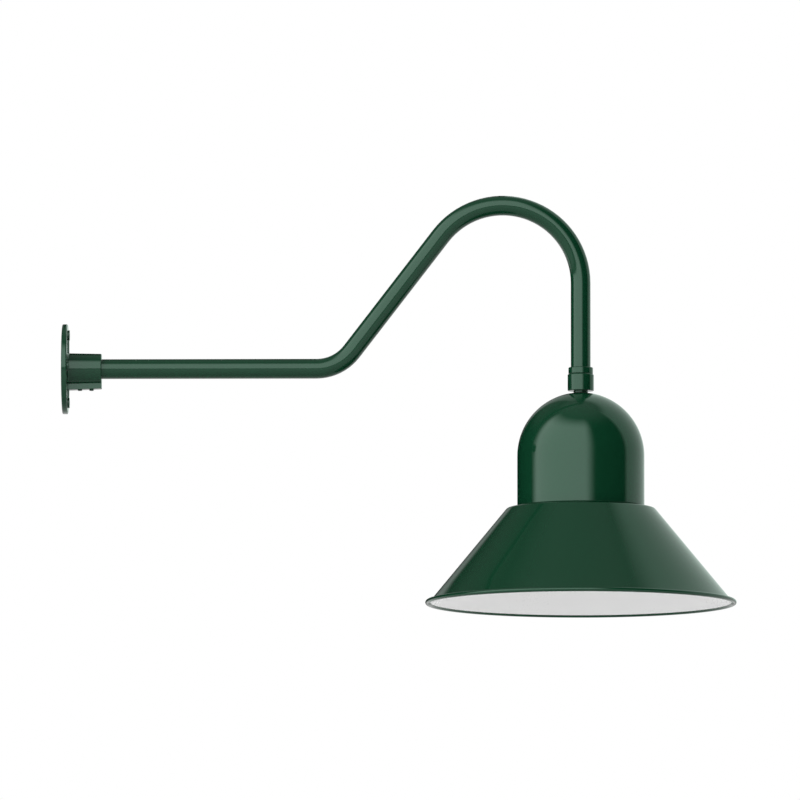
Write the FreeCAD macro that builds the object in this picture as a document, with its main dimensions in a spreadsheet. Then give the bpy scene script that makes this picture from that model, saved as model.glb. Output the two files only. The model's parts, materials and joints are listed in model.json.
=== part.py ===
import FreeCAD, Part
import math
import operator
import os

import Sketcher

# Gooseneck wall sconce. Millimetres and degrees, +Z up. The origin is the centre of the flange's rear
# face, on the axis of the arm: +X leaves the wall along the arm, and +Y is to the left seen from the wall.
# The shade and all that turns with it are drawn about their own upright axis, which stands at the reach.

SIZES = {
    # wall flange: a cast disc with a hub, open at the back for the wiring
    "flange_diameter": 117.5,
    "flange_thickness": 7.2,
    "rim_round": 1.6,
    "recess_diameter": 62.0,
    "recess_depth": 4.5,
    "hub_length": 44.1,
    "hub_root_radius": 20.8,
    "hub_end_radius": 20.0,
    "hub_edge": 0.8,
    "root_round": 2.0,
    "tube_seat": 9.0,
    "wiring_hole": 18.0,
    "gasket_inset": 3.45,
    "gasket_width": 6.6,
    "gasket_depth": 2.0,
    # holes for the screws of a ceiling or wall box, each on a raised pad joined to the hub by a rib
    "bolt_inset": 14.3,
    "bolt_hole": 5.6,
    "bolt_count": 4,
    "pad_diameter": 13.2,
    "pad_height": 2.2,
    "rib_width": 5.0,
    "rib_height": 1.7,
    # block under the hub for the screws that lock the arm
    "block_width": 14.0,
    "block_root_drop": 27.6,
    "block_end_drop": 25.9,
    "lock_screw_place": 22.9,
    "lock_screw_pitch": 15.1,
    "lock_screw_diameter": 6.2,
    "lock_screw_drop": 28.3,
    "lock_screw_socket": 3.2,
    "lock_screw_gap": 0.15,
    "screw_play": 0.08,
    "overlap": 3.0,
    "cut_over": 1.0,
    # seal ring between hub and arm
    "seal_section": 1.8,
    "seal_place": 6.0,
    "seal_squeeze": 0.09,
    "seal_side_play": 0.18,
    # earth screw in the back of the hub
    "earth_screw_height": 16.4,
    "earth_screw_diameter": 4.0,
    "earth_screw_length": 7.5,
    "earth_head_diameter": 7.8,
    "earth_head_height": 1.9,
    "earth_head_chamfer": 0.5,
    "slot_width": 1.0,
    "slot_depth": 1.0,
    # bent arm
    "reach": 677.5,
    "arch_height": 214.0,
    "arch_radius": 102.0,
    "incline": 52.45,
    "bend_radius": 58.0,
    "tube_diameter": 25.8,
    "tube_wall": 2.6,
    "running_play": 0.05,
    "end_play": 0.3,
    "sleeve_length": 9.5,
    "sleeve_wall": 3.4,
    "sleeve_lip": 3.0,
    "sleeve_end_wall": 0.6,
    # joint between arm and shade: a ferrule with a stem that turns in the coupling
    "ferrule_top": 1.0,
    "ferrule_height": 8.4,
    "ferrule_diameter": 32.1,
    "ferrule_floor": 2.6,
    "ferrule_chamfer": 0.8,
    "turned_edge": 0.5,
    "stem_diameter": 16.0,
    "stem_length": 12.5,
    "stem_bore": 10.0,
    "groove_depth": 1.4,
    "groove_width": 5.4,
    "groove_drop": 6.0,
    "coupling_diameter": 34.2,
    "coupling_height": 22.0,
    "coupling_chamfer": 1.2,
    "neck_diameter": 19.0,
    "grip_screw_diameter": 4.8,
    "grip_screw_length": 9.2,
    "grip_screw_socket": 2.5,
    "grip_screw_count": 2,
    "grip_screw_angle": 90.0,
    # threaded pipe and the parts stacked on it
    "pipe_diameter": 13.2,
    "pipe_bore": 9.4,
    "pipe_grip": 7.0,
    "pipe_below_dome": 15.0,
    "neck_gasket_height": 1.0,
    "neck_gasket_inset": 0.2,
    "washer_diameter": 20.8,
    "washer_height": 1.2,
    "nut_flats": 19.0,
    "nut_height": 4.0,
    # dome over the lamp holder
    "dome_radius": 83.0,
    "dome_top": 32.7,
    "dome_flat": 11.0,
    "dome_hole": 13.8,
    "dome_wall": 1.2,
    "dome_edge": 1.8,
    # conical shade with a flat top and a rolled rim
    "shoulder_drop": 183.4,
    "shoulder_ledge": 13.2,
    "shade_diameter": 406.4,
    "cone_angle": 39.5,
    "shoulder_round": 6.0,
    "sheet": 1.2,
    "curl_radius": 2.9,
    "curl_gap": 0.45,
    "curl_lowest_angle": -45.0,
    "ring_gasket_height": 0.8,
    "ring_gasket_inset": 2.5,
    "ring_gasket_width": 5.0,
    "shade_screw_inset": 11.0,
    "shade_screw_count": 4,
    "shade_screw_play": 0.2,
    "throat_margin": 10.0,
    "dome_lip_step": 2.0,
    "shade_screw_diameter": 4.0,
    "shade_screw_length": 8.6,
    "pan_diameter": 7.8,
    "pan_height": 2.4,
    "pan_chamfer": 1.2,
    "small_nut_flats": 7.0,
    "small_nut_height": 3.2,
    # bracket and porcelain lamp holder
    "bracket_width": 16.0,
    "bracket_span": 52.0,
    "bracket_sheet": 1.5,
    "bracket_bend": 3.0,
    "bracket_foot": 14.0,
    "bracket_hole_play": 0.15,
    "bracket_earth_place": 17.5,
    "bracket_earth_length": 3.2,
    "holder_top_drop": 112.0,
    "holder_diameter": 44.0,
    "holder_height": 51.5,
    "holder_lip_diameter": 49.0,
    "holder_lip_height": 9.0,
    "holder_chamfer": 1.5,
    "holder_bore": 28.0,
    "holder_floor": 19.0,
    "holder_screw_pitch": 31.0,
    "holder_screw_length": 12.0,
    "holder_hole_play": 0.1,
    "terminal_hole_over": 0.5,
    "lamp_thread": 26.5,
    "shell_wall": 0.4,
    "shell_thread_length": 21.5,
    "shell_length": 28.5,
    "shell_neck": 25.2,
    "shell_step": 0.8,
    "shell_rivet_play": 0.02,
    "shell_ledge_width": 2.6,
    "terminal_place": 15.8,
    "terminal_overlap": 1.4,
    "terminal_width": 8.0,
    "terminal_sheet": 0.9,
    "terminal_depth": 4.6,
    "terminal_screw_diameter": 3.4,
    "terminal_screw_length": 8.0,
    "terminal_head_diameter": 6.6,
    "terminal_head_height": 2.0,
    "terminal_head_taper": 0.8,
    "terminal_head_side": 0.6,
    "rivet_diameter": 1.9,
    "rivet_head_ledge": 0.35,
    "rivet_head_height": 0.6,
    "contact_place": 7.6,
    "contact_sheet": 0.5,
    "contact_width": 5.0,
    "contact_reach": 10.6,
    "contact_drop": 4.4,
    "contact_root": 1.8,
    # insulated leads inside the arm and the dome
    "lead_diameter": 2.4,
    "lead_spread": 2.8,
    "lead_tail": 1.5,
    "lead_end_gap": 0.1,
    "lead_clear_of_pipe": 6.0,
    "lead_clear_of_holder": 12.0,
    "lead_sag": 4.0,
}

FULL_TURN = 360


class Size:
    """A number worked out from the sheet, and the formula over the sheet that keeps it true."""

    def __init__(self, number, formula):
        self.number = float(number)
        self.formula = formula

    def __add__(self, other):
        return combine(self, "+", other)

    def __radd__(self, other):
        return combine(other, "+", self)

    def __sub__(self, other):
        return combine(self, "-", other)

    def __rsub__(self, other):
        return combine(other, "-", self)

    def __mul__(self, other):
        return combine(self, "*", other)

    def __rmul__(self, other):
        return combine(other, "*", self)

    def __truediv__(self, other):
        return combine(self, "/", other)

    def __rtruediv__(self, other):
        return combine(other, "/", self)

    def __neg__(self):
        return combine(0, "-", self)


SIGNS = {"+": operator.add, "-": operator.sub, "*": operator.mul, "/": operator.truediv}


def as_size(value):
    return value if isinstance(value, Size) else Size(value, repr(value))


def combine(left, sign, right):
    left = as_size(left)
    right = as_size(right)
    return Size(SIGNS[sign](left.number, right.number), f"({left.formula} {sign} {right.formula})")


def sine(angle):
    return Size(math.sin(math.radians(angle.number)), f"sin({angle.formula})")


def cosine(angle):
    return Size(math.cos(math.radians(angle.number)), f"cos({angle.formula})")


def tangent(angle):
    return Size(math.tan(math.radians(angle.number)), f"tan({angle.formula})")


def root(value):
    return Size(math.sqrt(value.number), f"sqrt({value.formula})")


doc = FreeCAD.newDocument("GooseneckSconce")
sheet = doc.addObject("Spreadsheet::Sheet", "Sizes")
for row, (alias, number) in enumerate(SIZES.items(), start=1):
    sheet.set(f"A{row}", alias)
    sheet.set(f"B{row}", str(number))
    sheet.setAlias(f"B{row}", alias)
doc.recompute()


def size(alias):
    return Size(SIZES[alias], f"Sizes.{alias}")


def bind(item, name, value):
    """Ties a property to the sheet, where its value depends on it."""
    value = as_size(value)
    if "Sizes." in value.formula:
        item.setExpression(name, value.formula)


# ---------------------------------------------------------------- sketches and features


def new_body(name, at_reach=False, turn=0, pieces=1):
    """A sub-part. The ones about the shade's axis stand at the reach."""
    body = doc.addObject("PartDesign::Body", name)
    body.Label = name
    if pieces > 1:
        body.AllowCompound = True
    if at_reach:
        rotation = FreeCAD.Rotation(FreeCAD.Vector(0, 0, 1), as_size(turn).number)
        body.Placement = FreeCAD.Placement(FreeCAD.Vector(SIZES["reach"], 0, 0), rotation)
        bind(body, "Placement.Base.x", size("reach"))
    return body


def origin_part(body, role):
    for feature in body.Origin.OriginFeatures:
        if feature.Role == role:
            return feature
    raise ValueError(role)


def new_sketch(body, name, plane, lift=0, across=0, up=0):
    """A sketch on one of the body's planes, lifted along its normal and shifted in the plane."""
    sketch = body.newObject("Sketcher::SketchObject", body.Name + "_" + name)
    sketch.AttachmentSupport = (origin_part(body, plane), [""])
    sketch.MapMode = "FlatFace"
    shift = FreeCAD.Vector(as_size(across).number, as_size(up).number, as_size(lift).number)
    sketch.AttachmentOffset = FreeCAD.Placement(shift, FreeCAD.Rotation())
    for axis, value in (("x", across), ("y", up), ("z", lift)):
        bind(sketch, "AttachmentOffset.Base." + axis, value)
    return sketch


def hold(sketch, geometry, point, across, up):
    """Fixes one point of a sketch's geometry at a place measured from the sketch's origin, which is
    the first point of its level axis."""
    across = as_size(across)
    up = as_size(up)
    level_axis, upright_axis = -1, -2
    origin = (level_axis, 1)
    if across.formula == "0" and up.formula == "0":
        sketch.addConstraint(Sketcher.Constraint("Coincident", geometry, point, *origin))
        return
    for value, kind, axis in ((across, "DistanceX", upright_axis), (up, "DistanceY", level_axis)):
        if value.formula == "0":
            sketch.addConstraint(Sketcher.Constraint("PointOnObject", geometry, point, axis))
        else:
            rule = Sketcher.Constraint(kind, *origin, geometry, point, value.number)
            index = sketch.addConstraint(rule)
            bind(sketch, f"Constraints[{index}]", value)


def hold_radius(sketch, geometry, radius):
    radius = as_size(radius)
    index = sketch.addConstraint(Sketcher.Constraint("Radius", geometry, radius.number))
    bind(sketch, f"Constraints[{index}]", radius)


def arc_between(start, end, bulge):
    """The lesser arc of radius |bulge|: it swings to the right of the way it goes if bulge > 0.
    It is always drawn counterclockwise, so a swing to the left is drawn from its end."""
    chord = end - start
    middle = (start + end) * 0.5
    left = FreeCAD.Vector(-chord.y, chord.x, 0).normalize()
    side = 1 if bulge > 0 else -1
    rise = math.sqrt(max(bulge * bulge - chord.Length ** 2 / 4, 0))
    centre = middle + left * (side * rise)
    on_arc = centre - left * (side * abs(bulge))
    return Part.Arc(start, on_arc, end) if bulge > 0 else Part.Arc(end, on_arc, start)


def outline(sketch, corners, closed=True):
    """Lines and arcs through corners. A corner is (across, up), or (across, up, bulge) where an arc
    leads to it: see arc_between. Each corner is held by its own two sizes."""
    places = [FreeCAD.Vector(as_size(c[0]).number, as_size(c[1]).number, 0) for c in corners]
    start_point, end_point = 1, 2
    count = len(corners)
    spans = [(n, (n + 1) % count) for n in range(count if closed else count - 1)]
    starts = {}
    ends = {}
    for first, last in spans:
        bulge = corners[last][2] if len(corners[last]) > 2 else None
        if bulge is None:
            geometry = sketch.addGeometry(Part.LineSegment(places[first], places[last]), False)
        else:
            arc = arc_between(places[first], places[last], as_size(bulge).number)
            geometry = sketch.addGeometry(arc, False)
        begin = sketch.Geometry[geometry].StartPoint
        begins_here = begin.distanceToPoint(places[first]) < begin.distanceToPoint(places[last])
        starts[first] = (geometry, start_point if begins_here else end_point)
        ends[last] = (geometry, end_point if begins_here else start_point)
        if bulge is not None:
            hold_radius(sketch, geometry, bulge if as_size(bulge).number > 0 else -as_size(bulge))
    for number, corner in enumerate(corners):
        if number in starts and number in ends:
            joint = Sketcher.Constraint("Coincident", *ends[number], *starts[number])
            sketch.addConstraint(joint)
        geometry, point = starts.get(number) or ends[number]
        hold(sketch, geometry, point, corner[0], corner[1])
    return sketch


def circle(sketch, across, up, radius):
    """A circle held by its centre, which a sketch numbers as the third point of its geometry."""
    centre = FreeCAD.Vector(as_size(across).number, as_size(up).number, 0)
    ring = Part.Circle(centre, FreeCAD.Vector(0, 0, 1), as_size(radius).number)
    geometry = sketch.addGeometry(ring, False)
    hold(sketch, geometry, 3, across, up)
    hold_radius(sketch, geometry, radius)
    return sketch


def block(sketch, left, right, bottom, top):
    return outline(sketch, [(left, bottom), (right, bottom), (right, top), (left, top)])


def polygon(sketch, flats, sides=6):
    """A regular polygon about the sketch's origin, by its width across flats."""
    radius = flats / (2 * math.cos(math.pi / sides))
    corners = []
    for number in range(sides):
        angle = 2 * math.pi * number / sides
        corners.append((radius * math.cos(angle) + 0.0, radius * math.sin(angle) + 0.0))
    return outline(sketch, corners)


def revolve(body, sketch, axis="V_Axis", kind="Revolution"):
    feature = body.newObject("PartDesign::" + kind, sketch.Name + "_" + kind.lower())
    feature.Profile = (sketch, [""])
    feature.ReferenceAxis = (sketch, [axis])
    feature.Angle = FULL_TURN
    return feature


def extrude(body, sketch, length, kind="Pad", backwards=False, both_ways=False):
    feature = body.newObject("PartDesign::" + kind, sketch.Name + "_" + kind.lower())
    feature.Profile = (sketch, [""])
    feature.Length = as_size(length).number
    bind(feature, "Length", length)
    feature.Reversed = backwards
    feature.Midplane = both_ways
    return feature


def pattern_round(body, features, axis, count, angle=FULL_TURN):
    feature = body.newObject("PartDesign::PolarPattern", features[0].Name + "_round")
    feature.Originals = features
    feature.Axis = (origin_part(body, axis), [""])
    feature.Angle = as_size(angle).number
    bind(feature, "Angle", angle)
    feature.Occurrences = round(as_size(count).number)
    bind(feature, "Occurrences", count)
    body.Tip = feature
    return feature


def ring(name, inner, outer, bottom, top):
    """A plain ring about the shade's axis."""
    body = new_body(name, at_reach=True)
    section = new_sketch(body, "section", "XZ_Plane")
    block(section, inner, outer, bottom, top)
    revolve(body, section)
    return body


# ---------------------------------------------------------------- places that several pieces share

tube_radius = size("tube_diameter") / 2
tube_bore = tube_radius - size("tube_wall")
hub_bore = tube_radius + size("running_play")
hub_end = size("flange_thickness") + size("hub_length")
bolt_radius = size("flange_diameter") / 2 - size("bolt_inset")
gasket_out = size("flange_diameter") / 2 - size("gasket_inset")
gasket_in = gasket_out - size("gasket_width")

# The arm's centre line lies in the XZ plane: a level run, a bend, an inclined run, the arch, the drop.
arch_x = size("reach") - size("arch_radius")
arch_z = size("arch_height") - size("arch_radius")
incline = size("incline")
rise_x, rise_z = cosine(incline), sine(incline)
knee_x = arch_x - (size("arch_radius") + arch_z * rise_x) / rise_z
knee_run = size("bend_radius") * tangent(incline / 2)

ferrule_bottom = size("ferrule_top") - size("ferrule_height")
tube_end = ferrule_bottom + size("ferrule_floor")
stem_radius = size("stem_diameter") / 2
stem_end = ferrule_bottom - size("stem_length")
groove_z = ferrule_bottom - size("groove_drop")
collar_top = ferrule_bottom - size("end_play")
collar_bottom = collar_top - size("coupling_height")
neck_bottom = -(size("dome_top") - size("neck_gasket_height"))
pipe_radius = size("pipe_diameter") / 2
pipe_top = neck_bottom + size("pipe_grip")

dome_underside = -(size("dome_top") + size("dome_wall"))
washer_bottom = dome_underside - size("washer_height")
first_nut_bottom = washer_bottom - size("nut_height")
bracket_top_bottom = first_nut_bottom - size("bracket_sheet")
bracket_earth_head = bracket_top_bottom - size("earth_head_height")
second_nut_bottom = bracket_top_bottom - size("nut_height")
pipe_bottom = dome_underside - size("pipe_below_dome")

shoulder_z = -size("shoulder_drop")
dome_bottom = shoulder_z + size("ring_gasket_height")
shade_screw_radius = size("dome_radius") - size("shade_screw_inset")
throat_radius = shade_screw_radius - size("throat_margin")
screw_hole_radius = size("shade_screw_diameter") / 2 + size("shade_screw_play")

# The height of the shade follows from its two diameters and the slope of the cone.
cone_slope = size("cone_angle")
curl_x = size("shade_diameter") / 2 - size("curl_radius")
cone_spread = curl_x - (size("dome_radius") + size("shoulder_ledge"))
cone_drop = (cone_spread * cosine(cone_slope) - (size("curl_radius") - size("sheet"))) / sine(cone_slope)
curl_z = shoulder_z - cone_drop

holder_top = -size("holder_top_drop")
holder_mouth = holder_top - size("holder_height")
holder_floor = holder_top - size("holder_floor")
terminal_floor = holder_top - size("terminal_depth")
shell_top = holder_floor - size("end_play")
shell_bottom = shell_top - size("shell_length")
shell_ledge = size("shell_neck") / 2 - size("shell_ledge_width")
shell_rivet_place = shell_ledge + size("shell_ledge_width") / 2
contact_top = holder_floor - size("end_play")
contact_rivet_seat = contact_top - size("contact_sheet") - size("end_play")
terminal_near = size("contact_place") - size("terminal_overlap")
terminal_screw_top = terminal_floor + size("terminal_sheet") + size("terminal_head_height")


def arm_outline(start_x, end_z):
    """Corners of the arm's centre line, from a place in the hub to a place above the shade."""
    return [
        (start_x, 0),
        (knee_x - knee_run, 0),
        (knee_x + knee_run * rise_x, knee_run * rise_z, size("bend_radius")),
        (arch_x - size("arch_radius") * rise_z, arch_z + size("arch_radius") * rise_x),
        (size("reach"), arch_z, -size("arch_radius")),
        (size("reach"), end_z),
    ]


# ---------------------------------------------------------------- wall flange and what it holds


def make_wall_flange():
    body = new_body("wall_flange")
    thickness = size("flange_thickness")
    radius = size("flange_diameter") / 2
    rim = size("rim_round")
    edge = size("hub_edge")
    turn = size("root_round")
    over = size("cut_over")
    seal_half = size("seal_section") / 2 + size("seal_side_play")
    seal_left = hub_end - size("seal_place") - seal_half
    seal_right = hub_end - size("seal_place") + seal_half
    seal_floor = hub_bore + size("seal_section") + size("seal_squeeze")
    section = new_sketch(body, "section", "XZ_Plane")
    outline(section, [
        (0, size("recess_diameter") / 2),
        (0, gasket_in),
        (size("gasket_depth"), gasket_in),
        (size("gasket_depth"), gasket_out),
        (0, gasket_out),
        (0, radius - rim),
        (rim, radius, -rim),
        (thickness - rim, radius),
        (thickness, radius - rim, -rim),
        (thickness, size("hub_root_radius") + turn),
        (thickness + turn, size("hub_root_radius"), turn),
        (hub_end - edge, size("hub_end_radius")),
        (hub_end, size("hub_end_radius") - edge),
        (hub_end, hub_bore),
        (seal_right, hub_bore),
        (seal_right, seal_floor),
        (seal_left, seal_floor),
        (seal_left, hub_bore),
        (size("tube_seat"), hub_bore),
        (size("tube_seat"), size("wiring_hole") / 2),
        (size("recess_depth"), size("wiring_hole") / 2),
        (size("recess_depth"), size("recess_diameter") / 2),
    ])
    revolve(body, section, "H_Axis")

    # the block for the lock screws, drawn from the side and as wide as block_width
    inside = -(size("hub_end_radius") - size("overlap"))
    side = new_sketch(body, "block", "XZ_Plane")
    outline(side, [
        (thickness - rim, inside),
        (thickness - rim, -size("block_root_drop")),
        (hub_end - edge, -size("block_end_drop")),
        (hub_end, -(size("block_end_drop") - edge)),
        (hub_end, inside),
    ])
    extrude(body, side, size("block_width"), both_ways=True)

    # one pad with its rib, then the ring of them
    pad = new_sketch(body, "pad", "YZ_Plane", lift=thickness - rim)
    circle(pad, 0, bolt_radius, size("pad_diameter") / 2)
    pad_feature = extrude(body, pad, size("pad_height") + rim)
    rib = new_sketch(body, "rib", "YZ_Plane", lift=thickness - rim)
    half = size("rib_width") / 2
    block(rib, -half, half, size("hub_root_radius") - size("overlap"), bolt_radius)
    rib_feature = extrude(body, rib, size("rib_height") + rim)
    pattern_round(body, [pad_feature, rib_feature], "X_Axis", size("bolt_count"))

    hole = new_sketch(body, "bolt_hole", "YZ_Plane", lift=-over)
    circle(hole, 0, bolt_radius, size("bolt_hole") / 2)
    through = thickness + size("pad_height") + 2 * over
    hole_feature = extrude(body, hole, through, "Pocket", backwards=True)
    pattern_round(body, [hole_feature], "X_Axis", size("bolt_count"))

    locks = new_sketch(body, "lock_holes", "XY_Plane", lift=-(size("block_root_drop") + over))
    lock_radius = size("lock_screw_diameter") / 2 + size("screw_play")
    circle(locks, size("lock_screw_place"), 0, lock_radius)
    circle(locks, size("lock_screw_place") + size("lock_screw_pitch"), 0, lock_radius)
    extrude(body, locks, size("block_root_drop"), "Pocket", backwards=True)

    earth = new_sketch(body, "earth_hole", "YZ_Plane", lift=size("recess_depth") - over)
    earth_radius = size("earth_screw_diameter") / 2 + size("screw_play")
    circle(earth, 0, size("earth_screw_height"), earth_radius)
    extrude(body, earth, size("earth_screw_length") + 2 * over, "Pocket", backwards=True)
    return body


def make_flange_gasket():
    body = new_body("flange_gasket")
    section = new_sketch(body, "section", "XZ_Plane")
    play = size("running_play")
    block(section, 0, size("gasket_depth"), gasket_in + play, gasket_out - play)
    revolve(body, section, "H_Axis")
    return body


def make_lock_screws():
    """Two headless screws that press on the arm from below, with hexagon sockets."""
    body = new_body("hub_lock_screws", pieces=2)
    tip = tube_radius + size("lock_screw_gap")
    base = new_sketch(body, "shank", "XY_Plane", lift=-size("lock_screw_drop"),
                      across=size("lock_screw_place"))
    circle(base, 0, 0, size("lock_screw_diameter") / 2)
    shank = extrude(body, base, size("lock_screw_drop") - tip)
    key = new_sketch(body, "socket", "XY_Plane", lift=-size("lock_screw_drop"),
                     across=size("lock_screw_place"))
    polygon(key, size("lock_screw_socket"))
    socket = extrude(body, key, size("lock_screw_socket"), "Pocket", backwards=True)
    row = body.newObject("PartDesign::LinearPattern", "lock_screw_row")
    row.Originals = [shank, socket]
    row.Direction = (origin_part(body, "X_Axis"), [""])
    row.Mode = "Spacing"
    row.Occurrences = 2
    bind(row, "Offset", size("lock_screw_pitch"))
    body.Tip = row
    return body


def make_hub_seal():
    """Rubber ring in its groove in the hub, round the arm."""
    seal = doc.addObject("Part::Torus", "hub_seal")
    seal.Label = "hub_seal"
    section_radius = size("seal_section") / 2
    bind(seal, "Radius2", section_radius)
    bind(seal, "Radius1", tube_radius + 2 * size("running_play") + section_radius)
    place = hub_end - size("seal_place")
    turn = FreeCAD.Rotation(FreeCAD.Vector(0, 1, 0), 90)
    seal.Placement = FreeCAD.Placement(FreeCAD.Vector(place.number, 0, 0), turn)
    bind(seal, "Placement.Base.x", place)
    return seal


def make_earth_screw():
    body = new_body("earth_screw")
    head_radius = size("earth_head_diameter") / 2
    shank_radius = size("earth_screw_diameter") / 2
    seat = size("recess_depth")
    front = seat - size("earth_head_height")
    section = new_sketch(body, "section", "XZ_Plane", up=size("earth_screw_height"))
    outline(section, [
        (front, 0),
        (front, head_radius - size("earth_head_chamfer")),
        (front + size("earth_head_chamfer"), head_radius),
        (seat, head_radius),
        (seat, shank_radius),
        (seat + size("earth_screw_length"), shank_radius),
        (seat + size("earth_screw_length"), 0),
    ])
    revolve(body, section, "H_Axis")
    slot = new_sketch(body, "slot", "YZ_Plane", lift=front, up=size("earth_screw_height"))
    block(slot, -head_radius, head_radius, -size("slot_width") / 2, size("slot_width") / 2)
    extrude(body, slot, size("slot_depth"), "Pocket", backwards=True)
    return body


# ---------------------------------------------------------------- arm and what turns with it


def make_gooseneck_arm():
    """One bent tube, swept along the centre line and bored by the same sweep."""
    body = new_body("gooseneck_arm")
    start = size("tube_seat") + size("end_play")
    path = new_sketch(body, "path", "XZ_Plane")
    outline(path, arm_outline(start, tube_end), closed=False)
    rings = []
    for name, radius in (("outer", tube_radius), ("bore", tube_bore)):
        section = new_sketch(body, name, "YZ_Plane", lift=start)
        circle(section, 0, 0, radius)
        rings.append(section)
    runs = [f"Edge{number + 1}" for number in range(len(path.Geometry))]
    for kind, section in zip(("AdditivePipe", "SubtractivePipe"), rings):
        pipe = body.newObject("PartDesign::" + kind, body.Name + "_" + kind)
        pipe.Profile = (section, [""])
        pipe.Spine = (path, runs)
    return body


def make_arm_sleeve():
    """Nylon sleeve that keeps the leads off the tube's cut end."""
    body = new_body("arm_sleeve")
    outer = tube_bore - size("running_play")
    inner = outer - size("sleeve_wall")
    neck = size("wiring_hole") / 2 - size("end_play")
    lip = size("tube_seat") + 2 * size("end_play")
    section = new_sketch(body, "section", "XZ_Plane")
    outline(section, [
        (lip - size("sleeve_lip"), inner),
        (lip - size("sleeve_lip"), neck),
        (lip, neck),
        (lip, outer),
        (lip + size("sleeve_length"), outer),
        (lip + size("sleeve_length"), outer - size("sleeve_end_wall")),
        (lip + size("sleeve_lip"), inner),
    ])
    revolve(body, section, "H_Axis")
    return body


def make_arm_ferrule():
    """Collar on the arm's lower end, with the hollow stem that carries the shade."""
    body = new_body("arm_ferrule", at_reach=True)
    radius = size("ferrule_diameter") / 2
    top = size("ferrule_top")
    edge = size("ferrule_chamfer")
    bore = size("stem_bore") / 2
    groove = stem_radius - size("groove_depth")
    half = size("groove_width") / 2
    section = new_sketch(body, "section", "XZ_Plane")
    outline(section, [
        (hub_bore, top),
        (radius - edge, top),
        (radius, top - edge),
        (radius, ferrule_bottom + edge / 2),
        (radius - edge / 2, ferrule_bottom),
        (stem_radius, ferrule_bottom),
        (stem_radius, groove_z + half),
        (groove, groove_z + half),
        (groove, groove_z - half),
        (stem_radius, groove_z - half),
        (stem_radius, stem_end + size("turned_edge")),
        (stem_radius - size("turned_edge"), stem_end),
        (bore, stem_end),
        (bore, tube_end - size("running_play")),
        (hub_bore, tube_end - size("running_play")),
    ])
    revolve(body, section)
    return body


# ---------------------------------------------------------------- coupling, pipe and dome


def make_shade_coupling():
    """Lower collar: it turns on the stem, and its neck stands on the dome."""
    body = new_body("shade_coupling", at_reach=True, turn=-size("grip_screw_angle") / 2)
    radius = size("coupling_diameter") / 2
    chamfer = size("coupling_chamfer")
    neck = size("neck_diameter") / 2
    stem_bore = stem_radius + size("running_play")
    pipe_hole = pipe_radius + size("running_play")
    web_top = stem_end - size("end_play")
    web_bottom = pipe_top + size("end_play")
    section = new_sketch(body, "section", "XZ_Plane")
    outline(section, [
        (stem_bore, collar_top),
        (radius - chamfer, collar_top),
        (radius, collar_top - chamfer),
        (radius, collar_bottom + size("turned_edge")),
        (radius - size("turned_edge"), collar_bottom),
        (neck, collar_bottom),
        (neck, neck_bottom),
        (pipe_hole, neck_bottom),
        (pipe_hole, web_bottom),
        (size("stem_bore") / 2, web_bottom),
        (size("stem_bore") / 2, web_top),
        (stem_bore, web_top),
    ])
    revolve(body, section)
    hole = new_sketch(body, "grip_hole", "XZ_Plane", up=groove_z)
    circle(hole, 0, 0, size("grip_screw_diameter") / 2 + size("screw_play"))
    hole_feature = extrude(body, hole, radius + size("cut_over"), "Pocket")
    pattern_round(body, [hole_feature], "Z_Axis", size("grip_screw_count"), size("grip_screw_angle"))
    return body


def make_grip_screws():
    """Two headless screws at the back of the coupling, with their tips in the stem's groove."""
    body = new_body("coupling_grip_screws", at_reach=True, turn=-size("grip_screw_angle") / 2, pieces=2)
    tip = stem_radius - size("groove_depth") + size("end_play")
    base = new_sketch(body, "shank", "XZ_Plane", lift=-tip, up=groove_z)
    circle(base, 0, 0, size("grip_screw_diameter") / 2)
    shank = extrude(body, base, size("grip_screw_length"), backwards=True)
    end = tip + size("grip_screw_length")
    key = new_sketch(body, "socket", "XZ_Plane", lift=-end, up=groove_z)
    polygon(key, size("grip_screw_socket"))
    socket = extrude(body, key, size("grip_screw_socket"), "Pocket", backwards=True)
    pattern_round(body, [shank, socket], "Z_Axis", size("grip_screw_count"), size("grip_screw_angle"))
    return body


def make_dome_housing():
    """Spun dome: flat top with a hole, hemisphere, straight skirt and an inward flange."""
    body = new_body("dome_housing", at_reach=True)
    wall = size("dome_wall")
    radius = size("dome_radius")
    flat = size("dome_flat")
    top = -size("dome_top")
    centre = top - root(radius * radius - flat * flat)
    inner_radius = radius - wall
    inner_flat = root(inner_radius * inner_radius - (dome_underside - centre) * (dome_underside - centre))
    edge = size("dome_edge")
    hole = size("dome_hole") / 2
    lip = throat_radius + size("dome_lip_step")
    section = new_sketch(body, "section", "XZ_Plane")
    outline(section, [
        (hole, top),
        (flat, top),
        (radius, centre, -radius),
        (radius, dome_bottom + edge),
        (radius - edge, dome_bottom, -edge),
        (lip, dome_bottom),
        (lip, dome_bottom + wall),
        (radius - edge, dome_bottom + wall),
        (inner_radius, dome_bottom + edge, edge - wall),
        (inner_radius, centre),
        (inner_flat, dome_underside, inner_radius),
        (hole, dome_underside),
    ])
    revolve(body, section)
    holes = new_sketch(body, "screw_hole", "XY_Plane", lift=dome_bottom - size("cut_over"))
    circle(holes, shade_screw_radius, 0, screw_hole_radius)
    cut = extrude(body, holes, wall + 2 * size("cut_over"), "Pocket", backwards=True)
    pattern_round(body, [cut], "Z_Axis", size("shade_screw_count"))
    return body


def make_pipe_nuts():
    body = new_body("pipe_locknuts", at_reach=True, pieces=2)
    for name, bottom in (("upper", first_nut_bottom), ("lower", second_nut_bottom)):
        section = new_sketch(body, name, "XY_Plane", lift=bottom)
        polygon(section, size("nut_flats"))
        circle(section, 0, 0, pipe_radius + size("running_play"))
        extrude(body, section, size("nut_height"))
    return body


# ---------------------------------------------------------------- shade


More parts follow.
